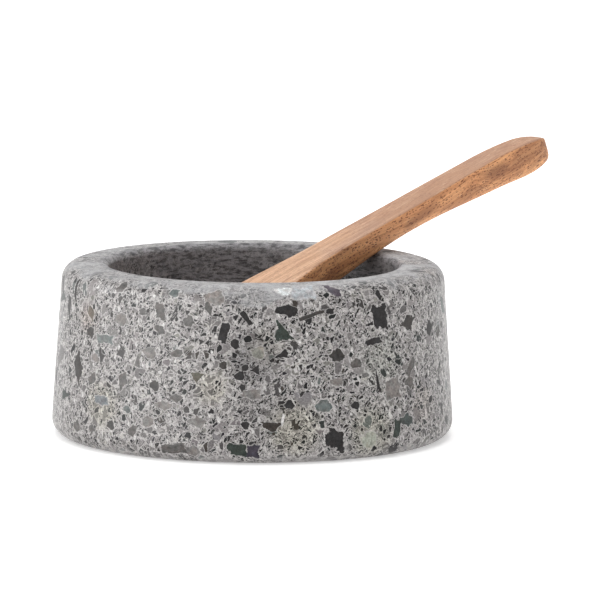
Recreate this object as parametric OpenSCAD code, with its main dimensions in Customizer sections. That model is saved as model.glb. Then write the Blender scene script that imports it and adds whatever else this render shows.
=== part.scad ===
// Round stone salt cellar with a carved wooden spoon standing in it.
// Millimetres. +Z is up, and the origin is on the table under the middle of the bowl.
// The spoon leans on the lip and stands on the floor of the bowl, and it lifts straight out.

/* [Bowl] */
// Diameter of the bowl at the table, before the edge of its foot is rounded
bowl_d = 102; // [92:1:116]
// Height of the bowl
bowl_h = 43.6; // [36:0.2:52]
// How far the outer wall leans in, on each side, from the table to the rim
wall_lean = 2.8; // [0:0.1:5]
// Thickness of the wall at the rim
wall_t = 11.7; // [9:0.1:16]
// Thickness of the floor under the salt
floor_t = 14.6; // [10:0.2:22]
// Rounding of the outer edge of the rim
rim_round = 4.4; // [1:0.1:5]
// Rounding of the inner edge of the rim, which is the lip
lip_round = 1.8; // [0.5:0.1:3]
// Rounding of the outer edge of the foot
foot_round = 4.2; // [1:0.1:6]
// Rounding where the wall of the hollow meets its floor
floor_round = 7; // [2:0.5:10]

/* [Spoon head] */
// Length of the head, from its tip to where the handle begins
head_l = 60; // [50:1:76]
// Distance from the tip to the widest and deepest place of the head
head_widest = 20; // [16:0.5:26]
// Width of the head
head_w = 23; // [20:0.5:30]
// Depth of the head, from its rim to its underside
head_h = 11.7; // [9:0.1:16]
// How far the tip dips below the straight line of the handle
head_dip = 4.3; // [0:0.1:7]
// Length of the scoop carved into the head
scoop_l = 36; // [28:1:46]
// Depth of the scoop
scoop_h = 7.2; // [4:0.2:8]
// Width of the rim round the scoop
scoop_rim = 1.8; // [1.2:0.1:3]

/* [Spoon handle] */
// Length of the whole spoon, measured along its handle
spoon_l = 134; // [115:1:160]
// Width of the handle where it leaves the head
neck_w = 11.9; // [8:0.1:15]
// Thickness of the handle at its thinnest
neck_t = 6.5; // [4:0.1:8]
// Distance from the head to the thinnest place of the handle
neck_l = 22; // [8:1:30]
// Width of the handle near its end
end_w = 8.2; // [6:0.1:12]
// Thickness of the handle near its end
end_t = 9.1; // [5:0.1:10]
// Length over which the end is rounded, seen from above
end_round = 7.8; // [4:0.2:10]
// Length over which the underside rounds up to the end
end_under = 12; // [6:0.5:16]
// How far the end curves down below the straight line of the handle
end_dip = 2.2; // [0:0.1:5]
// Length over which the end curves down
end_dip_l = 22; // [12:1:40]
// How far the top face rounds down at the very end
end_nose = 1.5; // [0:0.1:3]
// Rounding along the upper edges of the spoon
edge_round = 0.7; // [0.3:0.1:1.4]

/* [Resting place] */
// Direction in which the handle points, in degrees from +X towards +Y
spoon_turn = 37.5; // [0:0.5:359.5]
// Gap between the tip of the head and the wall of the hollow
tip_gap = 7.8; // [3:0.2:12]
// Clearance between the spoon and the bowl where the spoon rests
rest_gap = 0.3; // [0.1:0.05:0.5]

/* [Hidden] */

$fn = 96;

bowl_r = bowl_d / 2;
hollow_r = bowl_r - wall_lean - wall_t;
lean_angle = atan(wall_lean / bowl_h);

// Shares of the thickness that the tip and the end keep at their very edge
tip_edge_share = 0.3;
end_edge_share = 0.45;
// Squareness of the underside: 2 is an ellipse, and more is nearer to a rectangle
head_square = 2.1;
handle_square = 4;
// Share of the half width at which the scoop's outline is held where there is no scoop
seam_share = 0.03;
// Most of the thickness, and of the flat beside the scoop, that the upper edge's rounding takes
round_share_t = 0.25;
round_share_w = 0.5;

// Rings of points along the stretches of the spoon, and points in each part of a ring
tip_rings = 12;
scoop_rings = 12;
handle_rings = 30;
end_rings = 8;
under_points = 18;
scoop_points = 10;

// Steepest angle at which the spoon could rest, halvings of the search for the real one,
// and places along the spoon that it tests
steepest = 60;
rest_steps = 20;
rest_places = 240;

// Radius of the outer wall at height z, before its edges are rounded
function wall_r(z) = bowl_r - wall_lean * z / bowl_h;

// Middle of a rounding of radius r that touches the outer wall, at height z
function edge_middle(r, z) = [wall_r(z) - r / cos(lean_angle), z];

// Point where that rounding leaves the outer wall
function on_wall(r, z) = edge_middle(r, z) + r * [cos(lean_angle), sin(lean_angle)];

module rounding(r, middle) {
  translate(middle) circle(r = r);
}

// Half of the bowl's section, in radius and height
module bowl_section() {
  foot = edge_middle(foot_round, foot_round);
  rim = edge_middle(rim_round, bowl_h - rim_round);
  lip = [hollow_r + lip_round, bowl_h - lip_round];
  corner = [hollow_r - floor_round, floor_t + floor_round];
  difference() {
    union() {
      polygon([
        [0, 0],
        [foot.x, 0],
        on_wall(foot_round, foot_round),
        on_wall(rim_round, bowl_h - rim_round),
        [rim.x, bowl_h],
        [lip.x, bowl_h],
        [hollow_r, lip.y],
        [hollow_r, corner.y],
        [corner.x, floor_t],
        [0, floor_t],
      ]);
      rounding(foot_round, foot);
      rounding(rim_round, rim);
      rounding(lip_round, lip);
    }
    rounding(floor_round, corner);
  }
}

module bowl() {
  color("darkgray") rotate_extrude() bowl_section();
}

// The spoon in its own frame: x runs from the tip of the head to the end of the handle,
// y is across it, and z = 0 is the straight line along the top of the handle.

function mix(a, b, t) = a + (b - a) * t;
function clamp(t) = min(1, max(0, t));
// Runs smoothly from 0 to 1 as t does
function ease(t) = let (c = clamp(t)) c * c * (3 - 2 * c);
// Quarter of a circle: rises from 0 to 1 as t does
function arch(t) = sqrt(max(0, 1 - pow(1 - clamp(t), 2)));
// How far x is along the stretch from a to b, from 0 to 1
function along(x, a, b) = clamp((x - a) / (b - a));

function half_width(x) = x < head_widest
  ? head_w / 2 * arch(x / head_widest)
  : mix(mix(head_w, neck_w, ease(along(x, head_widest, head_l))),
        end_w, along(x, head_l, spoon_l)) / 2 * arch((spoon_l - x) / end_round);

// Height of the top face or of the rim round the scoop
function top_z(x) =
  -head_dip * pow(1 - along(x, 0, head_l), 2)
  - end_dip * pow(along(x, spoon_l - end_dip_l, spoon_l), 2)
  - end_nose * (1 - arch((spoon_l - x) / end_round));

function thickness(x) = x < head_widest
  ? head_h * mix(tip_edge_share, 1, arch(x / head_widest))
  : mix(head_h, mix(neck_t, end_t, ease(along(x, head_l + neck_l, spoon_l - end_round))),
        ease(along(x, head_widest, head_l + neck_l)))
    * mix(end_edge_share, 1, arch((spoon_l - x) / end_under));

// The scoop starts one rim's width behind the tip
scoop_end = scoop_rim + scoop_l;
function scoop_arch(x) =
  let (u = (x - scoop_rim - scoop_l / 2) / (scoop_l / 2))
  sqrt(max(0, 1 - u * u));

function scoop_half_width(x) =
  max(seam_share * half_width(x),
      min(half_width(x) - scoop_rim, (head_w / 2 - scoop_rim) * scoop_arch(x)));

function squareness(x) = mix(head_square, handle_square, ease(along(x, head_widest, head_l)));

// Point on the underside, from one edge (t = 0) round to the other (t = 180)
function under_point(x, t) =
  let (
    e = 2 / squareness(x),
    edge = min(edge_round, thickness(x) * round_share_t),
    y = half_width(x) * sign(cos(t)) * pow(abs(cos(t)), e),
    z = top_z(x) - edge - (thickness(x) - edge) * pow(sin(t), e)
  ) [x, y, z];

// Point in the scoop, from its one edge (t = 0) to the other (t = 180)
function scoop_point(x, t) =
  [x, scoop_half_width(x) * cos(t), top_z(x) - scoop_h * scoop_arch(x) * sin(t)];

// Point where the upper edge's rounding meets the top face, on one side (1) or the other (-1)
function shoulder(x, side) =
  let (w = half_width(x))
  [x, side * mix(w, scoop_half_width(x), min(round_share_w, edge_round / w)), top_z(x)];

// One ring of points round the spoon at x
function ring(x) = concat(
  [for (i = [0:under_points]) under_point(x, 180 * i / under_points)],
  [shoulder(x, -1)],
  [for (i = [0:scoop_points]) scoop_point(x, 180 - 180 * i / scoop_points)],
  [shoulder(x, 1)]
);

ring_size = under_points + scoop_points + 4;

// Places of the rings: close together where an outline closes in a round
ring_places = concat(
  [for (i = [1:tip_rings]) head_widest * (1 - cos(90 * i / tip_rings))],
  [for (i = [1:scoop_rings]) mix(head_widest, scoop_end, sin(90 * i / scoop_rings))],
  [for (i = [1:handle_rings]) mix(scoop_end, spoon_l - end_round, i / handle_rings)],
  [for (i = [1:end_rings - 1]) spoon_l - end_round * (1 - sin(90 * i / end_rings))]
);

tip_point = [0, 0, top_z(0) - thickness(0) / 2];
end_point = [spoon_l, 0, top_z(spoon_l) - thickness(spoon_l) / 2];

module spoon_shape() {
  rings = [for (x = ring_places) each ring(x)];
  count = len(ring_places);
  tip = len(rings);
  end = tip + 1;
  last = (count - 1) * ring_size;
  polyhedron(
    points = concat(rings, [tip_point, end_point]),
    faces = concat(
      [for (r = [0:count - 2], i = [0:ring_size - 1])
        let (a = r * ring_size, j = (i + 1) % ring_size)
          each [[a + i, a + j, a + ring_size + j], [a + i, a + ring_size + j, a + ring_size + i]]],
      [for (i = [0:ring_size - 1]) [tip, (i + 1) % ring_size, i]],
      [for (i = [0:ring_size - 1]) [end, last + i, last + (i + 1) % ring_size]]
    )
  );
}

// At rest the spoon leans by an angle, with its underside on the floor and on the lip.

// Middle line of the underside when the spoon leans by the angle: distance and height
function under_line(lean) = [
  for (i = [0:rest_places])
    let (x = spoon_l * i / rest_places, z = top_z(x) - thickness(x))
    [x * cos(lean) - z * sin(lean), x * sin(lean) + z * cos(lean)]
];

// What moves that line to its place: the tip near the wall, the lowest point on the floor
function shift(line) = [
  tip_gap - hollow_r - min([for (p = line) p[0]]),
  floor_t + rest_gap - min([for (p = line) p[1]])
];

// Height of the rim at a distance from the middle of the bowl
function rim_z(s) =
  let (inward = max(0, hollow_r + lip_round - s))
  bowl_h - lip_round + sqrt(max(0, pow(lip_round, 2) - pow(inward, 2)));

// Least height of the underside above the rim when the spoon leans by the angle
function height_over_rim(lean) =
  let (line = under_line(lean), move = shift(line))
  min([for (p = line) let (s = p[0] + move[0]) if (s > hollow_r) p[1] + move[1] - rim_z(s)]);

// Halves the stretch of angles until the spoon just clears the rim
function resting_lean(low, high, steps) =
  let (middle = (low + high) / 2)
  steps == 0 ? high
  : height_over_rim(middle) < rest_gap ? resting_lean(middle, high, steps - 1)
  : resting_lean(low, middle, steps - 1);

module spoon() {
  lean = resting_lean(0, steepest, rest_steps);
  move = shift(under_line(lean));
  color("peru")
    rotate([0, 0, spoon_turn])
      translate([move[0], 0, move[1]])
        rotate([0, -lean, 0])
          spoon_shape();
}

bowl();
spoon();
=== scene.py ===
import math

import bpy
from mathutils import Matrix, Vector, noise


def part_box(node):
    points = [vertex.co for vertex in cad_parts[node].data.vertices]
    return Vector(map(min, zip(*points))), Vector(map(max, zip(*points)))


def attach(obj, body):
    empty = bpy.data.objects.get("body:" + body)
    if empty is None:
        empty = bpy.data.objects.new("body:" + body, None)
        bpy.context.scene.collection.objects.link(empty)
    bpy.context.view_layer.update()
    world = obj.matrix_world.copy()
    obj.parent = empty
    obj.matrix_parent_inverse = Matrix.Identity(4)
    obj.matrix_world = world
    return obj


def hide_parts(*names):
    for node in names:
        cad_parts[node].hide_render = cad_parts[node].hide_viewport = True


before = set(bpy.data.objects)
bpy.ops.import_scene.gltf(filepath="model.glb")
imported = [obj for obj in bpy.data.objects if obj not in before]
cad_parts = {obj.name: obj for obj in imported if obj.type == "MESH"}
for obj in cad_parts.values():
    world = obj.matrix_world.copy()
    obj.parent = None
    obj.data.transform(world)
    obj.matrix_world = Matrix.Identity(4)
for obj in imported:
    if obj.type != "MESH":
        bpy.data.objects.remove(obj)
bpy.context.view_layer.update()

MM = 0.001

# Bowl, in millimetres. Its height comes from the frame.
BOWL_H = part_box("bowl")[1].z / MM
BOWL_R = 51.0
WALL_LEAN = 2.8
HOLLOW_R = 36.5
FLOOR_T = 14.6
RIM_ROUND = 4.4
LIP_ROUND = 1.8
FOOT_ROUND = 4.2
FLOOR_ROUND = 7.0
# How far the hand finishing leaves the stone from a true round, and over what length
BOWL_WAVE = 0.16
BOWL_WAVE_L = 22.0

# Spoon, in millimetres
SPOON_L = 134.0
HEAD_L = 60.0
HEAD_WIDEST = 20.0
HEAD_W = 23.0
HEAD_H = 11.7
HEAD_DIP = 4.3
SCOOP_L = 36.0
SCOOP_H = 7.2
SCOOP_RIM = 1.8
NECK_W = 11.9
NECK_T = 6.5
NECK_L = 22.0
END_W = 8.2
END_T = 9.1
END_ROUND = 7.8
END_UNDER = 12.0
END_DIP = 2.2
END_DIP_L = 22.0
END_NOSE = 1.5
EDGE_ROUND = 0.7
TIP_EDGE_SHARE = 0.3
END_EDGE_SHARE = 0.45
HEAD_SQUARE = 2.1
HANDLE_SQUARE = 4.0
TIP_GAP = 7.8
REST_GAP = 0.3
# The handle points this far round from +X
SPOON_TURN = math.radians(37.5)
# Search for the angle at which it rests: the steepest one, halvings, and places that each one tests
STEEPEST = math.radians(60)
REST_STEPS = 20
REST_PLACES = 240
# How far the carving leaves the wood from a true curve, over what length across the spoon, how many
# times that along it, and the seed of the wave
SPOON_WAVE = 0.10
SPOON_WAVE_L = 7.0
SPOON_WAVE_STRETCH = 3
SPOON_SEED = 4

# How finely the meshes are divided: points round the bowl, steps along its section in each large
# round and in the lip, and steps on the straights, from the middle of the foot round to the middle
# of the floor
BOWL_AROUND = 360
ROUND_STEPS = 14
LIP_STEPS = 10
FOOT_STEPS = 20
WALL_STEPS = 36
RIM_STEPS = 8
HOLLOW_STEPS = 12
FLOOR_STEPS = 16
# Steps round the spoon, under it, in each edge, beside the scoop and across the scoop, then rings
# along it, up to its widest place, the end of the scoop, the round of the handle and the end
UNDER_STEPS = 40
EDGE_STEPS = 5
LAND_STEPS = 4
SCOOP_STEPS = 24
TIP_RINGS = 26
SCOOP_RINGS = 24
HANDLE_RINGS = 70
END_RINGS = 18
# Past the scoop its sides go on as two lines, this share of the half width from the middle
LINE_SHARE = 0.03

# Camera, fitted to the photograph: focal length for a 36 mm sensor, distance, angles and reach
SENSOR = 36.0
FOCAL = 379.1
CAMERA_FAR = 1.600
CAMERA_UP = math.radians(8.39)
AIM_Z = 0.020
YAW = math.radians(0.43)
PITCH = math.radians(-0.50)
ROLL = math.radians(0.46)
CAMERA_REACH = 100.0

# How strongly the surround lights the object from behind, from in front, and more from the left
SKY_BACK = 0.86
SKY_FRONT = 0.62
SKY_LEFT = 0.42
# How strongly the floor glows by itself near the object and far from it, those distances, and the
# floor's colour, roughness and half size
FLOOR_GLOW = (0.38, 0.80)
FLOOR_FAR = (0.20, 1.00)
FLOOR_COLOUR = (0.86, 0.86, 0.86, 1)
FLOOR_ROUGH = 0.9
FLOOR_HALF = 6.0
# Lamps: middle, width and height in metres, and power, then the point that they face
OVERHEAD_AT = (0.0, 0.10, 1.2)
OVERHEAD_SIZE = (1.0, 1.0)
OVERHEAD_POWER = 8.8
SHEEN_AT = (-1.113, -0.450, 0.30)
SHEEN_SIZE = (1.9, 0.9)
SHEEN_POWER = 66.0
LAMPS_AIM = (0, 0, 0.03)


def srgb(r, g, b):
    """A colour as a screen shows it, 0 to 255, in the linear values that shaders take."""
    def linear(c):
        c /= 255
        return c / 12.92 if c <= 0.04045 else ((c + 0.055) / 1.055) ** 2.4
    return (linear(r), linear(g), linear(b), 1.0)


def grey(level):
    """A level that a colour is multiplied by."""
    return (level, level, level, 1.0)


class Shader:
    """A node material: each method adds one node, and hands back its output."""

    def __init__(self, name):
        self.material = bpy.data.materials.new(name)
        self.material.use_nodes = True
        self.tree = self.material.node_tree
        self.surface = self.tree.nodes["Principled BSDF"]

    def node(self, kind, inputs=None, **settings):
        new = self.tree.nodes.new("ShaderNode" + kind)
        for name, value in settings.items():
            setattr(new, name, value)
        for name, value in (inputs or {}).items():
            self.put(new.inputs[name], value)
        return new

    def put(self, socket, value):
        if isinstance(value, bpy.types.NodeSocket):
            self.tree.links.new(value, socket)
        else:
            socket.default_value = value

    def place(self):
        """Position in the piece's own frame, in millimetres."""
        own = self.node("TexCoord").outputs["Object"]
        return self.vector("SCALE", own, scale=1 / MM)

    def vector(self, operation, a, b=None, scale=None):
        new = self.node("VectorMath", {0: a}, operation=operation)
        if b is not None:
            self.put(new.inputs[1], b)
        if scale is not None:
            self.put(new.inputs["Scale"], scale)
        return new.outputs["Value" if operation in ("DOT_PRODUCT", "LENGTH") else "Vector"]

    def math(self, operation, a, b=0.0):
        new = self.node("Math", {0: a, 1: b}, operation=operation)
        return new.outputs[0]

    def blend(self, share, a, b, kind="MIX"):
        new = self.node("Mix", data_type="RGBA", blend_type=kind)
        self.put(new.inputs[0], share)
        self.put(new.inputs[6], a)
        self.put(new.inputs[7], b)
        return new.outputs[2]

    def span(self, value, low, high, to_low=0.0, to_high=1.0, kind="SMOOTHSTEP"):
        names = {"Value": value, "From Min": low, "From Max": high, "To Min": to_low, "To Max": to_high}
        return self.node("MapRange", names, interpolation_type=kind).outputs["Result"]

    def noise(self, at, scale, detail=2.0, roughness=0.5, out="Fac"):
        names = {"Vector": at, "Scale": scale, "Detail": detail, "Roughness": roughness}
        return self.node("TexNoise", names).outputs[out]

    def cells(self, at, scale, feature="F1"):
        names = {"Vector": at, "Scale": scale}
        return self.node("TexVoronoi", names, feature=feature).outputs

    def ramp(self, value, colours):
        """Steps through the colours as the value goes from 0 to 1."""
        new = self.node("ValToRGB", {"Fac": value})
        stops = new.color_ramp
        stops.interpolation = "CONSTANT"
        for i, colour in enumerate(colours):
            stop = stops.elements[i] if i < 2 else stops.elements.new(i / len(colours))
            stop.position = i / len(colours)
            stop.color = colour
        return new.outputs["Color"]

    def turned(self, at, angles, stretch):
        """Position in axes turned by angles in degrees, so that what it feeds grows by stretch along them."""
        names = {"Vector": at, "Rotation": [math.radians(a) for a in angles], "Scale": stretch}
        return self.node("Mapping", names, vector_type="TEXTURE").outputs["Vector"]

    def stretched(self, at, stretch):
        """Position so that what it feeds grows by stretch along the axes."""
        return self.turned(at, (0, 0, 0), stretch)

    def pattern(self, at, noise_values, span_values):
        """A noise, as the share by which it shows."""
        return self.span(self.noise(at, *noise_values), *span_values)

    def wander(self, at, noise_values, distance):
        """Position moved about by a noise, by up to half the distance either way along each axis."""
        drift = self.vector("SUBTRACT", self.noise(at, *noise_values, "Color"), (0.5, 0.5, 0.5))
        return self.vector("ADD", at, self.vector("SCALE", drift, scale=distance))

    def finish(self, colour, rough, shine, relief, strength, depth):
        """The material, from its colour and finish. The depth of its relief is in millimetres."""
        self.put(self.surface.inputs["Base Color"], colour)
        self.put(self.surface.inputs["Roughness"], rough)
        self.surface.inputs["Specular IOR Level"].default_value = shine
        bump = self.node("Bump", {"Strength": strength, "Distance": depth * MM, "Height": relief})
        self.put(self.surface.inputs["Normal"], bump.outputs["Normal"])
        return self.material


# Colours of the chips, and of the pebbles and crumbs between them
CHARCOAL = [(34, 33, 34), (44, 42, 43), (38, 41, 40), (50, 47, 46), (58, 55, 55), (42, 39, 44)]
DARK = [(52, 50, 51), (64, 62, 62), (76, 73, 72), (58, 62, 61), (86, 83, 83), (70, 64, 60)]
FLAT = [
    (146, 141, 141), (138, 133, 132), (152, 148, 147),
    (134, 131, 130), (158, 153, 152), (142, 138, 140),
]
MIDDLE = [
    (122, 118, 118), (108, 105, 105), (134, 130, 129),
    (114, 118, 117), (142, 138, 137), (126, 119, 121),
]
PEBBLE = [
    (137, 133, 132), (126, 122, 121), (146, 142, 141),
    (131, 129, 124), (139, 134, 135), (120, 117, 116),
]
CRUMB = [
    (92, 89, 89), (156, 152, 151), (130, 126, 125), (170, 165, 164), (112, 108, 108),
    (148, 146, 140), (162, 158, 157), (72, 70, 70), (142, 138, 137), (178, 174, 173),
]
SPARK = [(216, 213, 211), (228, 226, 224), (206, 203, 202)]
BACK_TINTS = [
    (46, 44, 45), (62, 59, 58), (94, 91, 90), (55, 62, 58),
    (122, 118, 117), (90, 98, 96), (60, 55, 52),
]

# Kinds of chip: cell size, stretch along one direction, turns, share of cells that hold one,
# least and greatest gap between a chip and its cell's edge, softness of that edge, colours,
# and how far they keep to the patches that are rich in fine chips
CHIPS = [
    (2.60, 1.3, (0, 15, 50), 1.00, (0.03, 0.10), 0.04, PEBBLE, 0.0),
    (1.00, 1.6, (0, -35, 20), 0.65, (0.05, 0.14), 0.05, CRUMB, 0.3),
    (0.62, 2.8, (20, 40, 50), 0.40, (0.08, 0.22), 0.05, DARK, 0.8),
    (0.72, 2.8, (10, 15, -10), 0.42, (0.10, 0.26), 0.05, CHARCOAL, 0.8),
    (0.72, 2.8, (0, -55, 15), 0.42, (0.10, 0.26), 0.05, CHARCOAL, 0.8),
    (4.80, 1.3, (0, 20, 35), 0.30, (0.08, 0.30), 0.06, FLAT, 0.0),
    (2.70, 1.4, (0, -30, -20), 0.30, (0.10, 0.32), 0.05, MIDDLE, 0.0),
    (2.20, 1.5, (0, 50, 70), 0.26, (0.12, 0.34), 0.04, DARK, 0.0),
    (3.20, 1.4, (0, 65, 10), 0.16, (0.12, 0.34), 0.04, DARK, 0.0),
    (1.60, 1.7, (0, -20, 40), 0.22, (0.12, 0.32), 0.04, CHARCOAL, 0.4),
    (1.10, 1.9, (0, -50, 0), 0.30, (0.12, 0.30), 0.05, CHARCOAL, 0.6),
    (0.80, 2.2, (0, 70, 20), 0.16, (0.10, 0.26), 0.05, SPARK, 0.0),
]

# Larger chips on the sides that the photograph doesn't show, and the Y between which they begin
BACK_CHIPS = [
    (7.0, 1.3, (0, 30, 50), 0.18, (0.12, 0.34), 0.02, BACK_TINTS, 1.0),
    (4.4, 1.4, (0, -40, 10), 0.16, (0.12, 0.34), 0.03, CHARCOAL, 1.0),
]
BACK_FROM = (-26.0, -16.0)

# Large chips on the side that the photograph shows: degrees round the wall from the front,
# height, width and height of the chip in millimetres, turn in degrees, outline, colour
LARGE = [
    (10, 38.0, 6.5, 3.2, -12, "lump", "charcoal"),
    (23, 37.6, 2.6, 1.8, 0, "lump", "charcoal"),
    (17, 36.7, 5.8, 0.9, 18, "slab", "dark"),
    (40, 35.3, 4.6, 6.1, 3, "slab", "charcoal"),
    (52, 32.9, 6.4, 3.8, 20, "kite", "dark"),
    (25, 42.3, 4.6, 2.2, -20, "lump", "plum"),
    (9, 32.8, 4.4, 4.2, 0, "corner", "green"),
    (-1.4, 31.1, 2.1, 1.9, 20, "lump", "black"),
    (-5, 29.8, 2.4, 2.7, 0, "lump", "charcoal"),
    (-8.4, 32.5, 2.2, 4.8, -12, "slab", "charcoal"),
    (-1.9, 36.2, 1.3, 3.8, 34, "slab", "charcoal"),
    (25, 26.4, 3.8, 3.2, 10, "lump", "dark"),
    (8.9, 27.3, 3.6, 2.2, 0, "wedge", "charcoal"),
    (1.6, 27.8, 3.6, 3.2, 0, "lump", "olive"),
    (31, 24.2, 3.4, 3.0, 0, "lump", "dim"),
    (-8.5, 24.6, 2.0, 2.0, 0, "lump", "dark"),
    (-28, 37.0, 2.6, 3.8, 0, "slab", "dim"),
    (-19, 35.0, 2.8, 2.6, 10, "lump", "dim"),
    (-28, 32.4, 4.2, 2.1, -24, "kite", "dim"),
    (-24, 41.6, 3.2, 2.0, 0, "lump", "teal"),
    (-43, 41.6, 3.2, 2.4, 30, "lump", "dim"),
    (-55, 29.6, 3.6, 2.6, 0, "lump", "dark"),
    (-13, 38.6, 2.4, 3.0, 15, "kite", "dim"),
    (-34, 36.4, 2.6, 1.9, 0, "lump", "dim"),
    (-22, 27.0, 3.6, 1.8, 20, "lump", "dim"),
    (-31, 26.5, 3.8, 3.0, 0, "lump", "mid"),
    (-42, 34.0, 4.6, 3.0, 0, "lump", "mid"),
    (-40, 19.0, 3.2, 4.2, -24, "kite", "dim"),
    (-29, 18.6, 2.4, 2.8, 0, "lump", "dark"),
    (-22, 16.0, 3.2, 2.2, 12, "kite", "dim"),
    (-31, 9.6, 3.4, 2.8, 0, "lump", "mid"),
    (-44, 7.6, 2.6, 2.6, 0, "lump", "dark"),
    (-53, 18.2, 3.4, 2.0, 30, "slab", "dim"),
    (-52, 23.6, 3.0, 2.4, 0, "lump", "mid"),
    (-61, 20.2, 5.0, 7.4, 6, "kite", "dark"),
    (-55.5, 34.3, 3.0, 3.8, 20, "kite", "brown"),
    (-48, 28.5, 6.0, 2.1, 4, "slab", "teal"),
    (-48, 13.3, 5.6, 2.4, 0, "lump", "blue"),
    (-38, 12.0, 2.4, 1.8, 0, "lump", "teal"),
    (-3.5, 21.9, 2.6, 2.3, 15, "lump", "charcoal"),
    (-2, 24.0, 1.8, 1.8, 0, "lump", "charcoal"),
    (1, 23.5, 2.6, 1.8, -20, "wedge", "charcoal"),
    (-16, 21.4, 3.6, 2.4, 180, "wedge", "olive_dark"),
    (24.5, 20.0, 3.4, 2.4, 0, "lump", "mid"),
    (5.5, 9.7, 5.0, 2.6, 0, "boat", "brown_black"),
    (-2, 10.0, 2.3, 2.0, -30, "lump", "charcoal"),
    (23.8, 6.0, 5.8, 6.4, 25, "kite", "charcoal"),
    (0.4, 3.4, 3.4, 3.4, 0, "slab", "plum_black"),
    (-3.9, 3.8, 4.6, 2.9, -8, "slab", "green"),
    (45.5, 6.8, 2.4, 4.2, -14, "slab", "green"),
    (50, 8.6, 5.0, 3.2, 0, "lump", "teal_dark"),
    (20.5, 14.2, 4.2, 3.4, 10, "lump", "teal"),
    (30.5, 14.0, 2.3, 2.0, 0, "lump", "charcoal"),
    (10.5, 14.9, 2.6, 2.3, 25, "lump", "charcoal"),
    (52.5, 21.8, 2.0, 5.6, -36, "slab", "dim"),
    (51.5, 18.0, 4.0, 2.9, 0, "lump", "dim"),
    (44, 17.0, 5.0, 5.0, 5, "slab", "mid"),
    (38.5, 19.0, 1.4, 6.0, 10, "wedge", "charcoal"),
    (37.5, 29.3, 4.6, 1.6, 8, "slab", "charcoal"),
    (34.8, 5.0, 5.0, 4.2, 0, "lump", "olive_pale"),
    (-15.5, 10.4, 5.4, 2.6, 4, "kite", "mid"),
    (-22.5, 3.4, 6.8, 2.4, 4, "slab", "dim"),
    (-16.6, 3.2, 3.8, 2.4, 0, "lump", "mid"),
    (-26, 14.0, 5.0, 2.4, 8, "kite", "mid"),
    (0, 17.6, 4.8, 2.6, 0, "lump", "mid"),
    (-36, 6.8, 2.8, 2.6, 10, "lump", "dim"),
    (-52, 5.6, 2.6, 3.0, 0, "kite", "dim"),
    (-35, 24.0, 1.7, 3.0, 0, "wedge", "dim"),
    (-60, 5.6, 3.4, 2.8, 0, "lump", "dim"),
    (-11.3, 40.9, 5.2, 3.4, 0, "lump", "flat"),
    (15.7, 42.2, 5.6, 3.4, 0, "slab", "pale"),
    (9.3, 42.6, 4.2, 1.8, 6, "boat", "white"),
    (8.6, 11.2, 0.6, 2.8, -12, "slab", "white"),
]
# How far each flat of an outline lies from the middle, as a share of the half size, and where
OUTLINES = {
    "slab": [(4, 0.95), (92, 0.98), (181, 1.0), (266, 0.95)],
    "kite": [(38, 0.72), (130, 0.80), (218, 0.70), (325, 0.82)],
    "wedge": [(20, 0.60), (150, 0.62), (266, 0.80)],
    "corner": [(44, 0.35), (178, 0.95), (276, 0.95)],
    "boat": [(88, 0.70), (205, 0.74), (270, 0.95), (335, 0.74)],
    "lump": [(8, 0.86), (66, 0.98), (121, 0.86), (187, 0.95), (243, 0.84), (304, 0.98)],
}
TINTS = {
    "charcoal": (46, 44, 45),
    "black": (32, 31, 32),
    "dark": (62, 59, 58),
    "dim": (94, 91, 90),
    "mid": (122, 118, 117),
    "flat": (136, 131, 129),
    "green": (55, 62, 58),
    "teal": (102, 107, 107),
    "teal_dark": (70, 76, 75),
    "blue": (112, 116, 121),
    "olive": (134, 131, 125),
    "olive_dark": (88, 84, 75),
    "olive_pale": (166, 166, 156),
    "brown": (104, 95, 86),
    "brown_black": (58, 53, 50),
    "plum": (84, 78, 87),
    "plum_black": (62, 58, 68),
    "pale": (176, 178, 183),
    "white": (212, 213, 215),
}
# How thick a large chip is, into the stone, how uneven its outline is, the noise that this follows
# and the mix of its three channels, and a distance beyond all
CHIP_DEPTH = 4.0
CHIP_RAGGED = 0.68
RAGGED_NOISE = (0.55, 4.0, 0.6)
RAGGED_MIX = (1, 1, -2)
CHIP_FAR = 100.0
# The outline of each large chip is turned by a few degrees, which follow from its place round the
# wall: what that is multiplied by, and the range in which it is kept
CHIP_SPIN = 7
CHIP_SPIN_RANGE = 12
# Its soft edge, in shares of its half size
CHIP_EDGE = (1.05, 0.95)

# Below, a noise is its scale per millimetre, its detail and its roughness. A span is two values,
# then the shares at them where these aren't 0 and 1, and its kind where it isn't smooth. A pattern
# is a noise, and the span of it that shows.

# Pale binder between the chips, its grey patches, the darker flecks in it, and its olive patches
BINDER_PALE = (198, 193, 192)
BINDER_GREY = (184, 179, 178)
GREY_PATCHES = ((0.16, 3.0, 0.5), (0.35, 0.65))
BINDER_FLECK = (150, 146, 145)
FLECKS = ((2.4, 3.0, 0.65), (0.40, 0.62))
BINDER_OLIVE = (190, 188, 168)
OLIVE_PATCHES = ((0.22, 2.0, 0.5), (0.56, 0.70, 0.0, 0.5))
# Patches that are rich in fine chips
RICH_PATCHES = ((0.20, 3.0, 0.6), (0.36, 0.58))
# How far the outlines of the chips wander, and the noise that they follow
WARP = 0.8
WARP_NOISE = (0.8, 3.0, 0.6)
# The binder is paler right round a chip of the kinds with cells below a size: its colour, its
# share, and how far out it reaches as a share of a cell. Round a large chip it reaches out by
# shares of the chip's half size.
BORDER_BELOW = 3.0
BORDER_COLOUR = (222, 218, 216)
BORDER_SHOWS = 0.6
BORDER = (-0.10, -0.01)
LARGE_BORDER = (1.24, 1.06, 0.0, 0.45)
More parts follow.
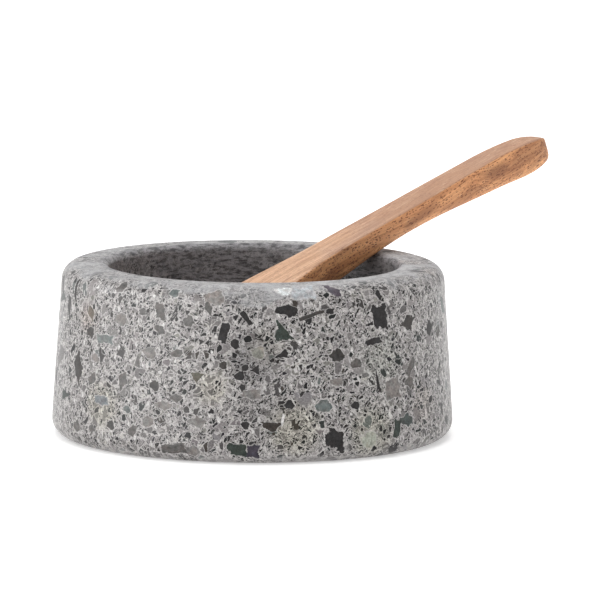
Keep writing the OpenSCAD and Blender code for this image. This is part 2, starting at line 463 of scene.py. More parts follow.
# Inside of the large chips: its mottle, darkest and palest level, and its cool and warm patches
MOTTLE = ((0.8, 5.0, 0.75), (0.3, 0.7, 0.0, 1.0, "LINEAR"))
MOTTLE_LEVELS = (0.5, 1.9)
WARM_PATCHES = ((0.5, 2.0, 0.5), (0.42, 0.58))
CHIP_COOL = (251, 255, 253)
CHIP_WARM = (255, 251, 247)
# Tinted areas of the wall: degrees round from the front, height, reach, and what the colour is
# multiplied by. The tint is full within a share of the reach.
TINTED = [
    (-57, 33.0, 6.0, (1.00, 0.93, 0.89)),
    (-48, 12.0, 8.0, (1.00, 0.99, 0.90)),
    (-12, 19.0, 6.0, (1.00, 0.99, 0.92)),
    (4, 29.0, 7.0, (1.00, 0.995, 0.95)),
    (0.5, 27.0, 9.5, (0.62, 0.62, 0.63)),
    (3.5, 14.0, 9.0, (0.80, 0.80, 0.80)),
    (12, 9.0, 9.0, (1.00, 0.995, 0.90)),
    (36, 7.0, 9.0, (0.99, 1.00, 0.91)),
    (40, 24.0, 9.0, (0.97, 1.00, 0.96)),
    (58, 12.0, 7.0, (1.00, 0.97, 0.95)),
]
TINT_FULL = 1 / 3
# Short strokes through binder and chips: their turns and stretch, darkest and palest level
STROKE_TURNS = (0, 25, 40)
STROKE_STRETCH = (2.2, 1, 1)
STROKES = ((3.2, 3.0, 0.7), (0.34, 0.66, 0.0, 1.0, "LINEAR"))
STROKE_LEVELS = (0.62, 1.20)
# Two noises drawn out round the bowl: fine streaks, and broad patches of wear and of painted shade
FLOW_STRETCH = (3.5, 3.5, 1)
FLOW_NOISE = (1.6, 4.0, 0.65)
FLOW = (0.38, 0.60)
BROAD_STRETCH = (3.0, 3.0, 1)
BROAD_NOISE = (0.35, 3.0, 0.5)
# The rim is rubbed smooth: its darkest and palest streak, its haze, the heights between which it
# begins, measured down from the top, how much they vary, how much shows, and its roughness
RIM_STREAKS = [(134, 134, 136), (186, 186, 187)]
RIM_HAZE = (200, 200, 202)
RIM_HAZE_SHOWS = (0.42, 0.66, 0.0, 0.5)
RIM_FROM = (2.2, 0.3)
RIM_UNEVEN = 6.0
RIM_SHOWS = (0.34, 0.66, 0.35, 0.75)
RIM_ROUGH = 0.6
# The smooth rim reaches lower round one place of its front: where, how much lower, and how far
# from the place that begins and is full
LOW_RIM_AT = (-1.7, -48.0, 43.0)
LOW_RIM = 2.6
LOW_RIM_REACH = (10.0, 5.0)
# The foot is rubbed smooth too, with streaks made paler as painted light from the floor below: its
# streaks, the heights between which that begins, how much shows
FOOT_LIT_STREAKS = [(134, 131, 130), (190, 187, 186)]
FOOT_FROM = (3.0, 0.8)
FOOT_SHOWS = (0.38, 0.60, 0.1, 0.7)
# Painted shade darkens the hollow from its lip inwards, a little later towards +X: its streaks, where
# the change lies outside the lip's round, the shift per millimetre of X, the heights between which
# it begins, well below the floor of the hollow and above the foot, and how much shows
HOLLOW_SHADE_STREAKS = [(83, 82, 84), (157, 155, 158)]
HOLLOW_EDGE = (0.4, -0.5)
HOLLOW_SHIFT = 0.02
HOLLOW_FROM = (FLOOR_T / 3, FLOOR_T / 2)
HOLLOW_SHADE_SHOWS = (0.38, 0.60, 0.98, 0.70)
# The painted shade thins out towards the left side of the hollow, between two X, and towards its
# floor, up to a height above it: the share that is left at either
SHADE_X = (-36.0, -14.0)
SHADE_LEFT = 0.72
FLOOR_TO = 9.0
HOLLOW_FLOOR_SHADE = 0.6
# Fine grain that darkens everything a little
GRAIN = (120, 117, 116)
GRAINS = ((7.0, 2.0, 0.6), (0.35, 0.65, 0.0, 0.45))
# Finish of the stone: its relief, its roughness over that, its shine, and strength and depth of
# the relief
STONE_RELIEF = (5.0, 3.0, 0.7)
STONE_ROUGH = (0.3, 0.7, 0.26, 0.42, "LINEAR")
STONE_SHINE = 0.15
STONE_BUMP = (0.18, 0.10)

# How far the grain of the wood wanders, and the noise that it follows
WAVY = 5.0
WAVY_NOISE = (0.045, 2.0, 0.5)
# The flat top has a colour of its own: how far the surface faces up in the spoon's own frame where
# that begins and where it is full
TOP_FACING = (0.45, 0.80)
# Noises along the spoon: how far they are drawn out, then scale, detail and roughness
BAND_NOISE = (30, 0.42, 3.0, 0.55)
STREAK_NOISE = (26, 1.7, 4.0, 0.65)
FIBRE_NOISE = (16, 6.0, 3.0, 0.7)
FIGURE_NOISE = (3.0, 0.14, 3.0, 0.6)
PORE_NOISE = (2.5, 0.30, 3.0, 0.6)
# Colours of the wood: on the flat top of the spoon and on the rest of it, palest and darkest band
# and where they change, then its pale and dark streaks
TOP_BANDS = [(213, 170, 136), (184, 142, 108)]
TOP_BANDS_CHANGE = (0.36, 0.62)
TOP_STREAKS = [(224, 190, 158), (152, 106, 80)]
SIDE_BANDS = [(237, 174, 121), (199, 137, 92)]
SIDE_BANDS_CHANGE = (0.34, 0.66)
SIDE_STREAKS = [(230, 180, 130), (138, 88, 58)]
# Where streaks and fibres show, and how much the dark streaks do on the side and on the top
DARK_STREAK = (0.48, 0.72)
DARK_SHOWS = (0.72, 0.85)
PALE_STREAK = (0.42, 0.28, 0.0, 0.6)
FIBRES = (0.48, 0.75, 0.0, 0.5)
# The top is cooler in places, and ruddier towards its end, between two places along it
TOP_COOL = (186, 154, 132)
COOL_PATCHES = ((0.05, 2.0, 0.5), (0.45, 0.65, 0.0, 0.6))
TOP_RUDDY = (166, 124, 95)
RUDDY_FROM = (48, 88, 0.0, 0.8)
# Broad dark figure, and how much of it shows on the side and on the top
FIGURE = (112, 70, 50)
FIGURES = (0.50, 0.66, 0.0, 0.45)
FIGURE_SHOWS = (1.0, 0.45)
# A dark swirl in the side of the handle that the photograph shows, in the spoon's own frame: its
# middle, turns and half sizes, and how it fades in shares of them
KNOT_AT = (114.0, -4.0, -3.2)
KNOT_TURNS = (0, 12, 0)
KNOT_SIZE = (7.0, 3.5, 2.6)
KNOT = (1.3, 0.2, 0.0, 0.62)
# Pores of the wood: width of the cells that hold them, and share of cells that hold one where
# they are few and where they are many, then where that changes, their edge in shares of a cell,
# and how much they show on the side and on the top
PORE = (104, 58, 38)
PORES = [(0.60, 0.34, 0.95), (0.40, 0.34, 0.95)]
PORE_STRETCH = 2.6
PORES_CHANGE = (0.38, 0.62)
PORE_EDGE = (0.20, 0.36, 1.0, 0.0)
PORE_SHOWS = (0.86, 0.35)
# Finish of the wood: its roughness over the streaks, its shine, how much the fibres stand up, and
# strength and depth of the relief
WOOD_ROUGH = (0.3, 0.7, 0.44, 0.60, "LINEAR")
WOOD_SHINE = 0.35
FIBRE_RELIEF = 0.5
WOOD_BUMP = (0.35, 0.12)


def chip_layer(stone, at, patch, size, stretch, turns, share, gaps, soft, patchy):
    """Where one kind of chip lies, where its paler border lies, and a number of its own for each chip."""
    place = stone.turned(at, turns, (stretch, 1, 1))
    cell = stone.node("SeparateColor", {"Color": stone.cells(place, 1 / size)["Color"]}).outputs
    edge = stone.cells(place, 1 / size, "DISTANCE_TO_EDGE")["Distance"]
    inward = stone.math("SUBTRACT", edge, stone.span(cell["Green"], 0, 1, *gaps, "LINEAR"))
    least, most = share * (1 - patchy), share * (1 + patchy / 2)
    there = stone.math("LESS_THAN", cell["Red"], stone.span(patch, 0, 1, least, most, "LINEAR"))
    inside = stone.math("MULTIPLY", stone.span(inward, 0.0, soft), there)
    border = stone.math("MULTIPLY", stone.span(inward, *BORDER), there)
    return inside, border, cell["Blue"]


def large_chip(stone, at, angle, height, width, tall, turn, outline):
    """How far out a place lies from one large chip, a block with flats round it: 1 is at its sides."""
    a, t = math.radians(angle), math.radians(turn)
    radius = BOWL_R - WALL_LEAN * height / BOWL_H
    out = Vector((math.sin(a), -math.cos(a), 0))
    across, up = Vector((math.cos(a), math.sin(a), 0)), Vector((0, 0, 1))
    u = (across * math.cos(t) + up * math.sin(t)) / (width / 2)
    v = (up * math.cos(t) - across * math.sin(t)) / (tall / 2)
    local = stone.vector("SUBTRACT", at, out * radius + up * height)
    reach = stone.math("ABSOLUTE", stone.vector("DOT_PRODUCT", local, out / CHIP_DEPTH))
    spin = angle * CHIP_SPIN % CHIP_SPIN_RANGE - CHIP_SPIN_RANGE / 2
    for place, flat in OUTLINES[outline]:
        c = math.radians(place + spin)
        side = stone.vector("DOT_PRODUCT", local, (u * math.cos(c) + v * math.sin(c)) / flat)
        reach = stone.math("MAXIMUM", reach, side)
    return reach


def binder(stone, place):
    """Pale ground of the stone."""
    ground = stone.blend(stone.pattern(place, *GREY_PATCHES), srgb(*BINDER_PALE), srgb(*BINDER_GREY))
    ground = stone.blend(stone.pattern(place, *FLECKS), ground, srgb(*BINDER_FLECK))
    return stone.blend(stone.pattern(place, *OLIVE_PATCHES), ground, srgb(*BINDER_OLIVE))


def packed_chips(stone, place, at, colour):
    """Chips of every kind, packed into the binder."""
    rich = stone.pattern(place, *RICH_PATCHES)
    behind = stone.span(stone.node("SeparateXYZ", {"Vector": place}).outputs["Y"], *BACK_FROM)
    kinds = [(rich, kind) for kind in CHIPS] + [(behind, kind) for kind in BACK_CHIPS]
    for patch, (size, stretch, turns, share, gaps, soft, tints, patchy) in kinds:
        where, border, own = chip_layer(stone, at, patch, size, stretch, turns, share, gaps, soft, patchy)
        if size < BORDER_BELOW:
            pale = stone.math("MULTIPLY", border, BORDER_SHOWS)
            colour = stone.blend(pale, colour, srgb(*BORDER_COLOUR))
        colour = stone.blend(where, colour, stone.ramp(own, [srgb(*tint) for tint in tints]))
    return colour


def tinted_areas(stone, at, colour):
    for angle, height, reach, tint in TINTED:
        a = math.radians(angle)
        middle = (BOWL_R * math.sin(a), -BOWL_R * math.cos(a), height)
        apart = stone.vector("LENGTH", stone.vector("SUBTRACT", at, middle))
        near = stone.span(apart, reach, reach * TINT_FULL)
        colour = stone.blend(near, colour, (*tint, 1.0), "MULTIPLY")
    return colour


def crystals(stone, at, colour):
    """Short pale and dark strokes through binder and chips."""
    strokes = stone.pattern(stone.turned(at, STROKE_TURNS, STROKE_STRETCH), *STROKES)
    level = stone.blend(strokes, grey(STROKE_LEVELS[0]), grey(STROKE_LEVELS[1]))
    return stone.blend(1.0, colour, level, "MULTIPLY")


def flow_streaked(stone, flow, streaks):
    """Colour streaked along the flow, for the rubbed rim, the foot with its painted light, and the painted
    shade in the hollow.
    """
    dark, pale = streaks
    return stone.blend(stone.span(flow, *FLOW), srgb(*dark), srgb(*pale))


def large_chips(stone, place, colour):
    """The large chips of the photographed side, mottled inside, with a paler border."""
    chip_colour, nearest = grey(0), CHIP_FAR
    for *shape, tint in LARGE:
        reach = large_chip(stone, place, *shape)
        nearer = stone.math("LESS_THAN", reach, nearest)
        chip_colour = stone.blend(nearer, chip_colour, srgb(*TINTS[tint]))
        nearest = stone.math("MINIMUM", nearest, reach)
    dark, pale = MOTTLE_LEVELS
    mottle = stone.blend(stone.pattern(place, *MOTTLE), grey(dark), grey(pale))
    chip_colour = stone.blend(1.0, chip_colour, mottle, "MULTIPLY")
    warm = stone.blend(stone.pattern(place, *WARM_PATCHES), srgb(*CHIP_COOL), srgb(*CHIP_WARM))
    chip_colour = stone.blend(1.0, chip_colour, warm, "MULTIPLY")

    ragged = stone.vector("DOT_PRODUCT", stone.noise(place, *RAGGED_NOISE, "Color"), RAGGED_MIX)
    edge = stone.math("ADD", nearest, stone.math("MULTIPLY", ragged, CHIP_RAGGED))
    colour = stone.blend(stone.span(edge, *LARGE_BORDER), colour, srgb(*BORDER_COLOUR))
    return stone.blend(stone.span(edge, *CHIP_EDGE), colour, chip_colour)


def smooth_rim(stone, place, height, flow, broad_patches):
    """Where the rim is rubbed smooth, and its colour there."""
    haze = stone.span(broad_patches, *RIM_HAZE_SHOWS)
    colour = stone.blend(haze, flow_streaked(stone, flow, RIM_STREAKS), srgb(*RIM_HAZE))
    apart = stone.vector("LENGTH", stone.vector("SUBTRACT", place, LOW_RIM_AT))
    lower = stone.span(apart, *LOW_RIM_REACH, 0.0, LOW_RIM)
    uneven = stone.math("MULTIPLY", stone.math("SUBTRACT", broad_patches, 0.5), RIM_UNEVEN)
    rim_height = stone.math("ADD", stone.math("ADD", height, lower), uneven)
    return stone.span(rim_height, BOWL_H - RIM_FROM[0], BOWL_H - RIM_FROM[1]), colour


def hollow_shade(stone, place, axes, broad_patches):
    """How much of the stone the painted shade in the hollow covers."""
    radius = stone.vector("LENGTH", stone.vector("MULTIPLY", place, (1, 1, 0)))
    shift = stone.vector("DOT_PRODUCT", place, (HOLLOW_SHIFT, 0, 0))
    edges = [HOLLOW_R + LIP_ROUND + edge for edge in HOLLOW_EDGE]
    inner = stone.math("MULTIPLY", stone.span(stone.math("ADD", radius, shift), *edges),
                       stone.span(axes["Z"], *HOLLOW_FROM))
    inner = stone.math("MULTIPLY", inner, stone.span(axes["X"], *SHADE_X, SHADE_LEFT, 1.0))
    cover = stone.math("MULTIPLY", stone.span(broad_patches, *HOLLOW_SHADE_SHOWS),
                       stone.span(axes["Z"], FLOOR_T, FLOOR_T + FLOOR_TO, HOLLOW_FLOOR_SHADE, 1.0))
    return stone.math("MULTIPLY", inner, cover)


def terrazzo():
    """Honed stone composite: a pale binder packed with angular chips that go right through it."""
    stone = Shader("terrazzo")
    place = stone.place()
    axes = stone.node("SeparateXYZ", {"Vector": place}).outputs
    at = stone.wander(place, WARP_NOISE, WARP)
    colour = packed_chips(stone, place, at, binder(stone, place))
    colour = crystals(stone, at, tinted_areas(stone, at, colour))

    flow = stone.noise(stone.stretched(at, FLOW_STRETCH), *FLOW_NOISE)
    broad_patches = stone.noise(stone.stretched(place, BROAD_STRETCH), *BROAD_NOISE)
    rim, rim_colour = smooth_rim(stone, place, axes["Z"], flow, broad_patches)
    colour = stone.blend(stone.math("MULTIPLY", rim, stone.span(broad_patches, *RIM_SHOWS)), colour, rim_colour)
    # Rubbed foot, its streaks paler as painted light from the floor below
    foot = stone.math("MULTIPLY", stone.span(axes["Z"], *FOOT_FROM), stone.span(broad_patches, *FOOT_SHOWS))
    colour = stone.blend(foot, colour, flow_streaked(stone, flow, FOOT_LIT_STREAKS))
    colour = large_chips(stone, place, colour)
    # Painted shade in the hollow, streaked along the flow
    painted_shade = hollow_shade(stone, place, axes, broad_patches)
    colour = stone.blend(painted_shade, colour, flow_streaked(stone, flow, HOLLOW_SHADE_STREAKS))
    colour = stone.blend(stone.pattern(place, *GRAINS), colour, srgb(*GRAIN), "MULTIPLY")

    relief = stone.noise(place, *STONE_RELIEF)
    rough = stone.span(relief, *STONE_ROUGH)
    rough = stone.math("MAXIMUM", rough, stone.math("MULTIPLY", rim, RIM_ROUGH))
    return stone.finish(colour, rough, STONE_SHINE, relief, *STONE_BUMP)


def lengthwise(wood, at, stretch, *noise_values):
    """A noise drawn out along the spoon."""
    return wood.noise(wood.stretched(at, (stretch, 1, 1)), *noise_values)


def top_colour(wood, place, wavy, band):
    """The flat top, cooler in places and ruddier towards its end."""
    colour = wood.blend(wood.span(band, *TOP_BANDS_CHANGE), srgb(*TOP_BANDS[0]), srgb(*TOP_BANDS[1]))
    colour = wood.blend(wood.pattern(wavy, *COOL_PATCHES), colour, srgb(*TOP_COOL))
    ruddy = wood.span(wood.node("SeparateXYZ", {"Vector": place}).outputs["X"], *RUDDY_FROM)
    return wood.blend(ruddy, colour, srgb(*TOP_RUDDY))


def dark_figure(wood, wavy, top):
    """How much shows of the broad dark figure and of the swirl in the handle."""
    figure = wood.span(lengthwise(wood, wavy, *FIGURE_NOISE), *FIGURES)
    local = wood.turned(wood.vector("SUBTRACT", wavy, KNOT_AT), KNOT_TURNS, KNOT_SIZE)
    figure = wood.math("MAXIMUM", figure, wood.span(wood.vector("LENGTH", local), *KNOT))
    return wood.math("MULTIPLY", figure, wood.span(top, 0, 1, *FIGURE_SHOWS))


def pores(wood, wavy):
    """Short pores along the spoon: 1 inside one, 0 outside all."""
    many = lengthwise(wood, wavy, *PORE_NOISE)
    long_way = wood.stretched(wavy, (PORE_STRETCH, 1, 1))
    depth = 0.0
    for size, least, most in PORES:
        cells = wood.cells(long_way, 1 / size)
        own = wood.node("SeparateColor", {"Color": cells["Color"]}).outputs["Red"]
        there = wood.math("LESS_THAN", own, wood.span(many, *PORES_CHANGE, least, most))
        pore = wood.math("MULTIPLY", wood.span(cells["Distance"], *PORE_EDGE), there)
        depth = wood.math("MAXIMUM", depth, pore)
    return depth


def acacia():
    """Oiled acacia: streaks, fibres and short dark pores along the spoon, cooler on its flat top."""
    wood = Shader("acacia")
    names = {"Vector": wood.place(), "Location": SPOON_PLACE.translation, "Rotation": SPOON_PLACE.to_euler()}
    place = wood.node("Mapping", names, vector_type="TEXTURE").outputs["Vector"]
    wavy = wood.wander(place, WAVY_NOISE, WAVY)
    upward = SPOON_PLACE.to_3x3() @ Vector((0, 0, 1))
    facing = wood.vector("DOT_PRODUCT", wood.node("TexCoord").outputs["Normal"], upward)
    top = wood.span(facing, *TOP_FACING)

    band = lengthwise(wood, wavy, *BAND_NOISE)
    streak = lengthwise(wood, wavy, *STREAK_NOISE)
    fibre = lengthwise(wood, wavy, *FIBRE_NOISE)
    upper = top_colour(wood, place, wavy, band)
    lower = wood.blend(wood.span(band, *SIDE_BANDS_CHANGE), srgb(*SIDE_BANDS[0]), srgb(*SIDE_BANDS[1]))
    colour = wood.blend(top, lower, upper)
    pale = wood.blend(top, srgb(*SIDE_STREAKS[0]), srgb(*TOP_STREAKS[0]))
    dark = wood.blend(top, srgb(*SIDE_STREAKS[1]), srgb(*TOP_STREAKS[1]))
    streaks = wood.math("MULTIPLY", wood.span(streak, *DARK_STREAK), wood.span(top, 0, 1, *DARK_SHOWS))
    colour = wood.blend(streaks, colour, dark)
    colour = wood.blend(wood.span(fibre, *FIBRES), colour, dark)
    colour = wood.blend(wood.span(streak, *PALE_STREAK), colour, pale)
    colour = wood.blend(dark_figure(wood, wavy, top), colour, srgb(*FIGURE))
    depth = pores(wood, wavy)
    sunk = wood.math("MULTIPLY", depth, wood.span(top, 0, 1, *PORE_SHOWS))
    colour = wood.blend(sunk, colour, srgb(*PORE))

    rough = wood.span(streak, *WOOD_ROUGH)
    relief = wood.math("SUBTRACT", wood.math("MULTIPLY", fibre, FIBRE_RELIEF), depth)
    return wood.finish(colour, rough, WOOD_SHINE, relief, *WOOD_BUMP)


def mesh_piece(name, points, faces, material):
    """A smooth-shaded piece from points in metres."""
    mesh = bpy.data.meshes.new(name)
    mesh.from_pydata(points, [], faces)
    mesh.validate()
    mesh.update()
    for face in mesh.polygons:
        face.use_smooth = True
    mesh.materials.append(material)
    piece = bpy.data.objects.new(name, mesh)
    bpy.context.scene.collection.objects.link(piece)
    return piece


def arc(middle, radius, start, end, count):
    """Points on an arc in the section, angles in degrees from outward to up."""
    angles = [math.radians(start + (end - start) * i / count) for i in range(count + 1)]
    return [(middle[0] + radius * math.cos(a), middle[1] + radius * math.sin(a)) for a in angles]


def steps(a, b, count):
    """Points between two points of the section, without either of them."""
    shares = [i / count for i in range(1, count)]
    return [(a[0] + (b[0] - a[0]) * t, a[1] + (b[1] - a[1]) * t) for t in shares]


def bowl_section():
    """Outline of half the bowl, from the middle of its foot round to the middle of its floor."""
    lean = math.atan(WALL_LEAN / BOWL_H)
    up = math.degrees(lean)

    def edge_middle(radius, z):
        return BOWL_R - WALL_LEAN * z / BOWL_H - radius / math.cos(lean), z

    foot = arc(edge_middle(FOOT_ROUND, FOOT_ROUND), FOOT_ROUND, -90, up, ROUND_STEPS)
    rim = arc(edge_middle(RIM_ROUND, BOWL_H - RIM_ROUND), RIM_ROUND, up, 90, ROUND_STEPS)
    lip = arc((HOLLOW_R + LIP_ROUND, BOWL_H - LIP_ROUND), LIP_ROUND, 90, 180, LIP_STEPS)
    corner = arc((HOLLOW_R - FLOOR_ROUND, FLOOR_T + FLOOR_ROUND), FLOOR_ROUND, 0, -90, ROUND_STEPS)
    outline = steps((0, 0), foot[0], FOOT_STEPS) + foot
    outline += steps(foot[-1], rim[0], WALL_STEPS) + rim
    outline += steps(rim[-1], lip[0], RIM_STEPS) + lip
    outline += steps(lip[-1], corner[0], HOLLOW_STEPS) + corner
    return outline + steps(corner[-1], (0, FLOOR_T), FLOOR_STEPS)


def skin(rings, size):
    """Faces between rings with as many points each, closed by a fan to one more point at each end."""
    first, last, start = rings * size, rings * size + 1, (rings - 1) * size
    faces = []
    for k in range(rings - 1):
        for i in range(size):
            j = (i + 1) % size
            faces.append((k * size + i, k * size + j, (k + 1) * size + j, (k + 1) * size + i))
    for i in range(size):
        j = (i + 1) % size
        faces.append((first, j, i))
        faces.append((last, start + i, start + j))
    return faces


def bowl_piece():
    section = bowl_section()
    points = []
    for r, z in section:
        for i in range(BOWL_AROUND):
            a = 2 * math.pi * i / BOWL_AROUND
            p = Vector((r * math.cos(a), r * math.sin(a), z))
            wave = noise.noise(p / BOWL_WAVE_L) * BOWL_WAVE * min(1, z / FOOT_ROUND)
            points.append(p * MM + Vector((p.x, p.y, 0)).normalized() * wave * MM)
    points += [Vector((0, 0, 0)), Vector((0, 0, FLOOR_T * MM))]
    return mesh_piece("stone_bowl", points, skin(len(section), BOWL_AROUND), terrazzo())


def mix(a, b, t):
    return a + (b - a) * t


def ease(t):
    t = min(1, max(0, t))
    return t * t * (3 - 2 * t)


def arch(t):
    t = min(1, max(0, t))
    return math.sqrt(1 - (1 - t) ** 2)


def along(x, a, b):
    return min(1, max(0, (x - a) / (b - a)))


def half_width(x):
    if x < HEAD_WIDEST:
        return HEAD_W / 2 * arch(x / HEAD_WIDEST)
    neck = mix(HEAD_W, NECK_W, ease(along(x, HEAD_WIDEST, HEAD_L)))
    return mix(neck, END_W, along(x, HEAD_L, SPOON_L)) / 2 * arch((SPOON_L - x) / END_ROUND)


def top_z(x):
    dip = HEAD_DIP * (1 - along(x, 0, HEAD_L)) ** 2
    dip += END_DIP * along(x, SPOON_L - END_DIP_L, SPOON_L) ** 2
    return -dip - END_NOSE * (1 - arch((SPOON_L - x) / END_ROUND))


def thickness(x):
    if x < HEAD_WIDEST:
        return HEAD_H * mix(TIP_EDGE_SHARE, 1, arch(x / HEAD_WIDEST))
    handle = mix(NECK_T, END_T, ease(along(x, HEAD_L + NECK_L, SPOON_L - END_ROUND)))
    body = mix(HEAD_H, handle, ease(along(x, HEAD_WIDEST, HEAD_L + NECK_L)))
    return body * mix(END_EDGE_SHARE, 1, arch((SPOON_L - x) / END_UNDER))


def scoop_arch(x):
    u = (x - SCOOP_RIM - SCOOP_L / 2) / (SCOOP_L / 2)
    return math.sqrt(max(0, 1 - u * u))


def leaning(angle):
    """The spoon's own frame, leant by the angle and set against the floor and wall of the hollow."""
    tilt = Matrix.Rotation(-angle, 4, "Y")
    under = []
    for i in range(REST_PLACES + 1):
        x = SPOON_L * i / REST_PLACES
        under.append(tilt @ Vector((x, 0, top_z(x) - thickness(x))))
    back = TIP_GAP - HOLLOW_R - min(p.x for p in under)
    up = FLOOR_T + REST_GAP - min(p.z for p in under)
    return Matrix.Translation((back, 0, up)) @ tilt, [(p.x + back, p.z + up) for p in under]


def over_rim(angle):
    """Least height of the underside above the rim."""
    gaps = []
    for out, z in leaning(angle)[1]:
        if out > HOLLOW_R:
            inward = max(0, HOLLOW_R + LIP_ROUND - out)
            rim = BOWL_H - LIP_ROUND + math.sqrt(max(0, LIP_ROUND ** 2 - inward ** 2))
            gaps.append(z - rim)
    return min(gaps)


def resting_angle():
    low, high = 0, STEEPEST
    for i in range(REST_STEPS):
        middle = (low + high) / 2
        if over_rim(middle) < REST_GAP:
            low = middle
        else:
            high = middle
    return high


# From the spoon's own frame to the bowl's: x runs along the spoon from its tip, y across it,
# and z = 0 is the straight line along the top of its handle
SPOON_PLACE = Matrix.Rotation(SPOON_TURN, 4, "Z") @ leaning(resting_angle())[0]


def spoon_ring(x):
    """Points round the spoon at x: under it from one edge to the other, then over its top."""
    w, top, thick = half_width(x), top_z(x), thickness(x)
    power = 2 / mix(HEAD_SQUARE, HANDLE_SQUARE, ease(along(x, HEAD_WIDEST, HEAD_L)))
    edge = min(EDGE_ROUND, thick / 4)
    inward = min(EDGE_ROUND, w / 2)
    scoop = min(w - SCOOP_RIM, (HEAD_W / 2 - SCOOP_RIM) * scoop_arch(x))
    inner = max(LINE_SHARE * w, scoop)
    ring = []
    for i in range(UNDER_STEPS + 1):
        a = math.pi * i / UNDER_STEPS
        y = w * math.copysign(abs(math.cos(a)) ** power, math.cos(a))
        ring.append((x, y, top - edge - (thick - edge) * max(0, math.sin(a)) ** power))
    land = max(0.0, w - inward - inner)
    for i in range(1, EDGE_STEPS):
        a = math.pi / 2 * i / EDGE_STEPS
        ring.append((x, -(w - inward + inward * math.cos(a)), top - edge + edge * math.sin(a)))
    for i in range(LAND_STEPS, 0, -1):
        ring.append((x, -(inner + land * i / LAND_STEPS), top))
    for i in range(SCOOP_STEPS + 1):
        a = math.pi * i / SCOOP_STEPS
        ring.append((x, -inner * math.cos(a), top - SCOOP_H * scoop_arch(x) * math.sin(a)))
    for i in range(1, LAND_STEPS + 1):
        ring.append((x, inner + land * i / LAND_STEPS, top))
    for i in range(EDGE_STEPS - 1, 0, -1):
        a = math.pi / 2 * i / EDGE_STEPS
        ring.append((x, w - inward + inward * math.cos(a), top - edge + edge * math.sin(a)))
    return ring


def quarter(count):
    """Angles up to a quarter turn, in equal steps."""
    return [math.radians(90 * i / count) for i in range(1, count + 1)]


def spoon_places():
    """Where the rings of the spoon lie, closer together towards its tip and its end."""
    scoop_end = SCOOP_RIM + SCOOP_L
    places = [HEAD_WIDEST * (1 - math.cos(a)) for a in quarter(TIP_RINGS)]
    places += [mix(HEAD_WIDEST, scoop_end, math.sin(a)) for a in quarter(SCOOP_RINGS)]
    places += [mix(scoop_end, SPOON_L - END_ROUND, i / HANDLE_RINGS) for i in range(1, HANDLE_RINGS + 1)]
    return places + [SPOON_L - END_ROUND * (1 - math.sin(a)) for a in quarter(END_RINGS)[:-1]]


def spoon_piece():
    rings = [spoon_ring(x) for x in spoon_places()]
    points = [Vector(p) for ring in rings for p in ring]
    points.append(Vector((0, 0, top_z(0) - thickness(0) / 2)))
    points.append(Vector((SPOON_L, 0, top_z(SPOON_L) - thickness(SPOON_L) / 2)))
    noise.seed_set(SPOON_SEED)
    for p in points:
        at = Vector((p.x / SPOON_WAVE_STRETCH, p.y, p.z)) / SPOON_WAVE_L
        p += noise.noise_vector(at) * SPOON_WAVE
    placed = [(SPOON_PLACE @ p) * MM for p in points]
    return mesh_piece("wooden_spoon", placed, skin(len(rings), len(rings[0])), acacia())


def lamp(name, place, size, power):
    light = bpy.data.lights.new(name, "AREA")
    light.shape = "RECTANGLE"
    light.size, light.size_y = size
    light.energy = power
    made = bpy.data.objects.new(name, light)
    made.location = place
    aim = Vector(LAMPS_AIM) - Vector(place)
    made.rotation_mode = "QUATERNION"
    made.rotation_quaternion = aim.to_track_quat("-Z", "Y")
    made.visible_camera = False
    bpy.context.scene.collection.objects.link(made)
    return made


def stage():
    """A white floor that keeps the shadow, a white surround, and large lamps overhead and on the left."""
    paint = Shader("floor")
    paint.surface.inputs["Base Color"].default_value = FLOOR_COLOUR
    paint.surface.inputs["Roughness"].default_value = FLOOR_ROUGH
    paint.surface.inputs["Specular IOR Level"].default_value = 0.0
    paint.surface.inputs["Emission Color"].default_value = (1, 1, 1, 1)
    far = paint.vector("LENGTH", paint.node("TexCoord").outputs["Object"])
    paint.put(paint.surface.inputs["Emission Strength"], paint.span(far, *FLOOR_FAR, *FLOOR_GLOW))
    corners = [(x * FLOOR_HALF, y * FLOOR_HALF, 0) for x, y in ((-1, -1), (1, -1), (1, 1), (-1, 1))]
    floor = mesh_piece("floor", corners, [(0, 1, 2, 3)], paint.material)

    surround()
    lamp("overhead", OVERHEAD_AT, OVERHEAD_SIZE, OVERHEAD_POWER)
    sheen = lamp("left_sheen", SHEEN_AT, SHEEN_SIZE, SHEEN_POWER)
    sheen.visible_diffuse = False


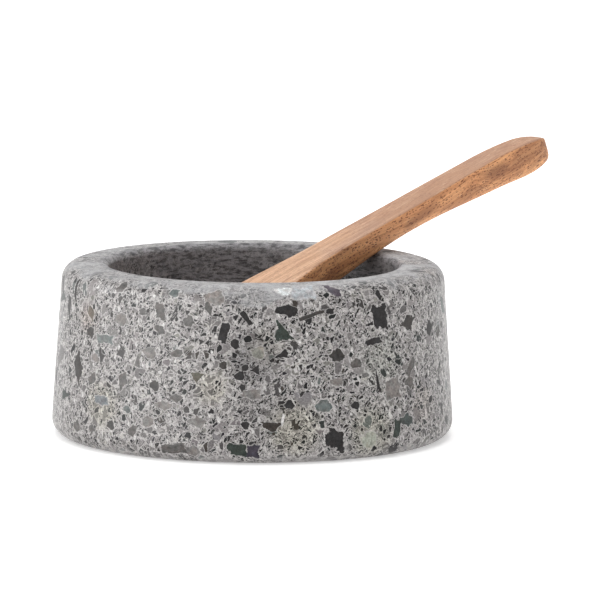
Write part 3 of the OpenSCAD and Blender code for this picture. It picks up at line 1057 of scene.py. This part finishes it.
def surround():
    """White where it is seen or mirrored. What it lights is lit most from behind and the sides."""
    world = bpy.data.worlds.new("surround")
    bpy.context.scene.world = world
    world.use_nodes = True
    nodes, links = world.node_tree.nodes, world.node_tree.links

    def math_node(operation, a, b):
        new = nodes.new("ShaderNodeMath")
        new.operation = operation
        for socket, value in zip(new.inputs, (a, b)):
            if isinstance(value, bpy.types.NodeSocket):
                links.new(value, socket)
            else:
                socket.default_value = value
        return new.outputs[0]

    path = nodes.new("ShaderNodeLightPath").outputs
    mirrored = math_node("MAXIMUM", path["Is Glossy Ray"], path["Is Transmission Ray"])
    seen = math_node("MAXIMUM", path["Is Camera Ray"], mirrored)
    way = nodes.new("ShaderNodeSeparateXYZ")
    links.new(nodes.new("ShaderNodeTexCoord").outputs["Generated"], way.inputs[0])
    behind = math_node("MULTIPLY_ADD", way.outputs["Y"], (SKY_BACK - SKY_FRONT) / 2)
    behind.node.inputs[2].default_value = (SKY_BACK + SKY_FRONT) / 2
    level = math_node("MULTIPLY_ADD", way.outputs["X"], -SKY_LEFT)
    links.new(behind, level.node.inputs[2])
    background = nodes["Background"]
    background.inputs["Color"].default_value = (1, 1, 1, 1)
    links.new(math_node("MAXIMUM", seen, level), background.inputs["Strength"])


def camera():
    forward = Vector((math.sin(YAW) * math.cos(CAMERA_UP + PITCH),
                      math.cos(YAW) * math.cos(CAMERA_UP + PITCH),
                      -math.sin(CAMERA_UP + PITCH)))
    right = forward.cross(Vector((0, 0, 1))).normalized()
    up = right.cross(forward)
    rolled_right = right * math.cos(ROLL) + up * math.sin(ROLL)
    rolled_up = up * math.cos(ROLL) - right * math.sin(ROLL)
    data = bpy.data.cameras.new("camera")
    data.sensor_width = SENSOR
    data.lens = FOCAL
    data.clip_end = CAMERA_REACH
    made = bpy.data.objects.new("camera", data)
    basis = Matrix((rolled_right, rolled_up, -forward)).transposed().to_4x4()
    place = Vector((0, -CAMERA_FAR * math.cos(CAMERA_UP), AIM_Z + CAMERA_FAR * math.sin(CAMERA_UP)))
    made.matrix_world = Matrix.Translation(place) @ basis
    bpy.context.scene.collection.objects.link(made)
    bpy.context.scene.camera = made


bowl = bowl_piece()
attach(bowl, "bowl")
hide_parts("bowl")

spoon = spoon_piece()
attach(spoon, "spoon")
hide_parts("spoon")

stage()
camera()
bpy.context.scene.view_settings.view_transform = "Standard"
